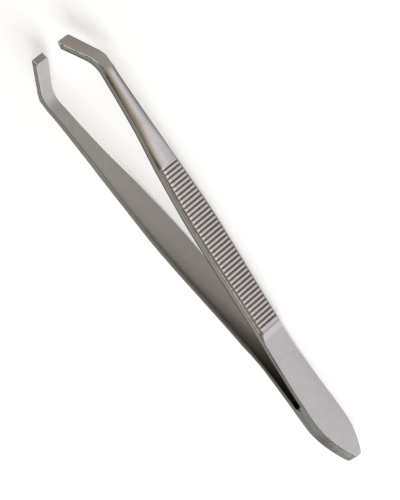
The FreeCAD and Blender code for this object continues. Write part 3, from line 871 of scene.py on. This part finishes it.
def placeGroup(tree, group, values):
    # A group in use, with its inputs set or linked by name.
    node = tree.nodes.new("ShaderNodeGroup")
    node.node_tree = group
    for label, value in values.items():
        link(tree, value, node.inputs[label])
    return node.outputs


def scaledNoise(tree, vector, scale, detail):
    # Noise over a place that is multiplied by its own scale along each axis.
    multiply = tree.nodes.new("ShaderNodeVectorMath")
    multiply.operation = "MULTIPLY"
    link(tree, vector, multiply.inputs[0])
    link(tree, scale, multiply.inputs[1])
    noise = tree.nodes.new("ShaderNodeTexNoise")
    noise.inputs["Scale"].default_value = 1
    noise.inputs["Detail"].default_value = detail
    link(tree, multiply.outputs[0], noise.inputs["Vector"])
    return noise.outputs[0]


def makeGrainGroup():
    # Wheel marks and cloudy mottling. Height is the fine noise, for a bump. Shade multiplies a
    # colour: 1 and the contrast times both noises less their mean.
    group, given, result = newGroup(
        "satinGrain",
        [("Vector", "Vector"), ("Fine", "Vector"), ("Mottle", "Vector"), ("Contrast", "Float")],
        [("Height", "Float"), ("Shade", "Float")],
    )
    fine = scaledNoise(group, given["Vector"], given["Fine"], grainLook["fineDetail"])
    mottle = scaledNoise(group, given["Vector"], given["Mottle"], grainLook["mottleDetail"])
    both = calculate(group, "ADD", fine, mottle)
    away = calculate(group, "MULTIPLY", calculate(group, "SUBTRACT", both, 1.0), given["Contrast"])
    group.links.new(fine, result["Height"])
    group.links.new(calculate(group, "ADD", away, 1.0), result["Shade"])
    return group


def makeGlintGroup():
    # Painted glints in a broken line of small bright places along a mark: noise between low and
    # high, times the mark.
    group, given, result = newGroup(
        "edgeGlints",
        [("Vector", "Vector"), ("Mark", "Float"), ("Scale", "Vector"), ("Low", "Float"),
         ("High", "Float")],
        [("Mask", "Float")],
    )
    noise = scaledNoise(group, given["Vector"], given["Scale"], glintLook["detail"])
    spots = remap(group, noise, given["Low"], given["High"], 0.0, 1.0)
    group.links.new(calculate(group, "MULTIPLY", spots, given["Mark"]), result["Mask"])
    return group


def makeSpeckGroup():
    # A few small dark pits: full within the core of the radius round a cell's middle, then fading.
    group, given, result = newGroup(
        "pitSpecks",
        [("Vector", "Vector"), ("Scale", "Float"), ("Radius", "Float")],
        [("Mask", "Float")],
    )
    cells = group.nodes.new("ShaderNodeTexVoronoi")
    group.links.new(given["Vector"], cells.inputs["Vector"])
    group.links.new(given["Scale"], cells.inputs["Scale"])
    core = calculate(group, "MULTIPLY", given["Radius"], speckLook["core"])
    mask = remap(group, cells.outputs["Distance"], core, given["Radius"], 1.0, 0.0)
    group.links.new(mask, result["Mask"])
    return group


def steelColor(tree, place):
    # Bands and layers over the back, most of them painted light and shade, then the inner faces
    # with their painted shade and their pits, then what lies over both, all multiplied by the
    # grain's shade. Returns the colour and the grain's height.
    look = steelLook
    grain = placeGroup(tree, makeGrainGroup(), {
        "Vector": place, "Fine": grainLook["fine"], "Mottle": grainLook["mottle"],
        "Contrast": grainLook["contrast"],
    })
    # Painted glints along the rim of the tip's bar.
    barRim = calculate(tree, "MULTIPLY", readMark(tree, "rim"), readMark(tree, "bar"))
    glintSpots = placeGroup(tree, makeGlintGroup(), {
        "Vector": place, "Mark": barRim, "Scale": (glintLook["scale"],) * 3,
        "Low": glintLook["low"], "High": glintLook["high"],
    })
    specks = placeGroup(tree, makeSpeckGroup(), {
        "Vector": place, "Scale": speckLook["scale"], "Radius": speckLook["radius"],
    })
    bands = tree.nodes.new("ShaderNodeValToRGB")
    stops = bands.color_ramp.elements
    for number, (position, name) in enumerate(paintedShankBands):
        stop = stops[number] if number < 2 else stops.new(position)
        stop.position = position
        stop.color = look[name]
    tree.links.new(readMark(tree, "flank"), bands.inputs[0])
    back = bands.outputs[0]
    for name, mark in backLayers:
        back = mixColor(tree, back, look[name], readMark(tree, mark))
    # The inner faces: painted shade between the arms, lighter again on the tip's bar.
    inside = mixColor(tree, look["insideShade"], look["jawInside"], readMark(tree, "bar"))
    inside = mixColor(tree, inside, look["speck"], specks["Mask"])
    color = mixColor(tree, back, inside, readMark(tree, "inside"))
    for name, mark in topLayers:
        color = mixColor(tree, color, look[name], readMark(tree, mark))
    color = mixColor(tree, color, look["glint"], glintSpots["Mask"])
    return mixColor(tree, color, grain["Shade"], 1.0, "MULTIPLY"), grain["Height"]


def makeSteel():
    # Satin steel. The grain's height sets roughness and bump, and is calmer on the inner faces:
    # its way from the middle is multiplied by a share there.
    material = bpy.data.materials.new("satinSteel")
    material.use_nodes = True
    tree, look = material.node_tree, steelLook
    shader = tree.nodes["Principled BSDF"]
    place = tree.nodes.new("ShaderNodeTexCoord").outputs["Object"]
    color, height = steelColor(tree, place)
    tree.links.new(color, shader.inputs["Base Color"])
    shader.inputs["Metallic"].default_value = look["metallic"]
    calm = remap(tree, readMark(tree, "inside"), 0.0, 1.0, 1.0, grainLook["insideShare"])
    height = calculate(tree, "MULTIPLY", calculate(tree, "SUBTRACT", height, 0.5), calm)
    height = calculate(tree, "ADD", height, 0.5)
    smoothest = look["roughness"] - look["roughnessSpread"] / 2
    roughest = look["roughness"] + look["roughnessSpread"] / 2
    low, high = grainLook["heightLow"], grainLook["heightHigh"]
    rough = remap(tree, height, low, high, smoothest, roughest)
    tree.links.new(rough, shader.inputs["Roughness"])
    bump = tree.nodes.new("ShaderNodeBump")
    bump.inputs["Strength"].default_value = grainLook["bumpStrength"]
    bump.inputs["Distance"].default_value = grainLook["bumpDistance"]
    tree.links.new(height, bump.inputs["Height"])
    tree.links.new(bump.outputs[0], shader.inputs["Normal"])
    return material


steel = makeSteel()
print("made", steel.name)
for name, side in (("left_arm", 1), ("right_arm", -1)):
    skin = makeSkin(name + "_skin", *armRings(side), side > 0)
    skin.data.materials.append(steel)
    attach(skin, "root")
    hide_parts(name)
    print("made", skin.name, len(skin.data.polygons), "faces")


# The camera stands far off, turned about its own view as the photograph is. The aim is in
# millimetres, the distance and the clip range in metres.
cameraSizes = {
    "towards": (0.0656, -0.717, 0.694),
    "roll": 130.09,
    "distance": 0.9,
    "pixelsPerMillimetre": 5.129,
    "imageHeight": 500,
    "sensorHeight": 24.0,
    "aim": (0.86, -0.08, 4.15),
    "clipRange": (0.01, 20),
}


def makeCamera():
    # Its axes: back towards the camera, and level and upright turned by the roll. The lens gives
    # the sensor's height times the distance over the height that the picture takes in.
    c = cameraSizes
    back = Vector(c["towards"]).normalized()
    level = Vector((0, 0, 1)).cross(back).normalized()
    upright = back.cross(level)
    turn = math.radians(c["roll"])
    right = math.cos(turn) * level - math.sin(turn) * upright
    up = math.sin(turn) * level + math.cos(turn) * upright
    place = Vector(c["aim"]) * millimetre + back * c["distance"]
    data = bpy.data.cameras.new("photoCamera")
    data.sensor_fit = "VERTICAL"
    data.sensor_height = c["sensorHeight"]
    pixelsPerMetre = c["pixelsPerMillimetre"] / millimetre
    data.lens = pixelsPerMetre * c["distance"] * c["sensorHeight"] / c["imageHeight"]
    data.clip_start, data.clip_end = c["clipRange"]
    camera = bpy.data.objects.new("photoCamera", data)
    turned = Matrix((right, up, back)).transposed().to_4x4()
    camera.matrix_world = Matrix.Translation(place) @ turned
    bpy.context.collection.objects.link(camera)
    bpy.context.scene.camera = camera


studio = {
    "world": (0.25, 0.225, 0.195, 1),
    "worldStrength": 1,
    "floorColor": 0.9,
    "floorRoughness": 0.9,
    "floorGlow": 0.42,
    "floorSize": 3.0,
}

# Square lamps that face the origin: place and width in metres, power in watts.
lamps = {
    "tailLamp": {
        "place": (-1.1, -0.2, 0.8), "width": 1.2, "power": 18, "color": (0.98, 0.99, 1),
    },
    "backPanel": {
        "place": (0, 1.0, 0.95), "width": 1.3, "power": 0.9, "color": (0.93, 1, 0.9),
    },
}


def addLamp(name, place, width, power, color):
    # A square area lamp whose light runs from its place towards the origin.
    data = bpy.data.lights.new(name, "AREA")
    data.shape = "SQUARE"
    data.size = width
    data.energy = power
    data.color = color
    lamp = bpy.data.objects.new(name, data)
    lamp.location = place
    lamp.rotation_euler = (-Vector(place)).to_track_quat("-Z", "Y").to_euler()
    bpy.context.collection.objects.link(lamp)


def makePaper():
    # The paper looks white to the camera and to the steel, and keeps its shadow: it glows by the
    # floor's glow wherever the ray comes from the camera, a reflection or a transmission.
    paper = bpy.data.materials.new("floorPaper")
    paper.use_nodes = True
    tree = paper.node_tree
    shader = tree.nodes["Principled BSDF"]
    shader.inputs["Base Color"].default_value = (studio["floorColor"],) * 3 + (1,)
    shader.inputs["Roughness"].default_value = studio["floorRoughness"]
    shader.inputs["Emission Color"].default_value = (1, 1, 1, 1)
    rays = tree.nodes.new("ShaderNodeLightPath").outputs
    seen = calculate(tree, "MAXIMUM", rays["Is Camera Ray"], rays["Is Glossy Ray"])
    seen = calculate(tree, "MAXIMUM", seen, rays["Is Transmission Ray"])
    glow = calculate(tree, "MULTIPLY", seen, studio["floorGlow"])
    tree.links.new(glow, shader.inputs["Emission Strength"])
    return paper


def makeStudio():
    # A plain floor, an even world and the lamps.
    size = studio["floorSize"]
    mesh = bpy.data.meshes.new("floor")
    corners = [(-size, -size, 0), (size, -size, 0), (size, size, 0), (-size, size, 0)]
    mesh.from_pydata(corners, [], [(0, 1, 2, 3)])
    mesh.materials.append(makePaper())
    floor = bpy.data.objects.new("floor", mesh)
    bpy.context.collection.objects.link(floor)
    world = bpy.data.worlds.new("studio")
    world.use_nodes = True
    background = world.node_tree.nodes["Background"]
    background.inputs["Color"].default_value = studio["world"]
    background.inputs["Strength"].default_value = studio["worldStrength"]
    bpy.context.scene.world = world
    for name, lamp in lamps.items():
        addLamp(name, **lamp)


makeCamera()
makeStudio()
bpy.context.scene.view_settings.view_transform = "Standard"
print("camera and studio are set")
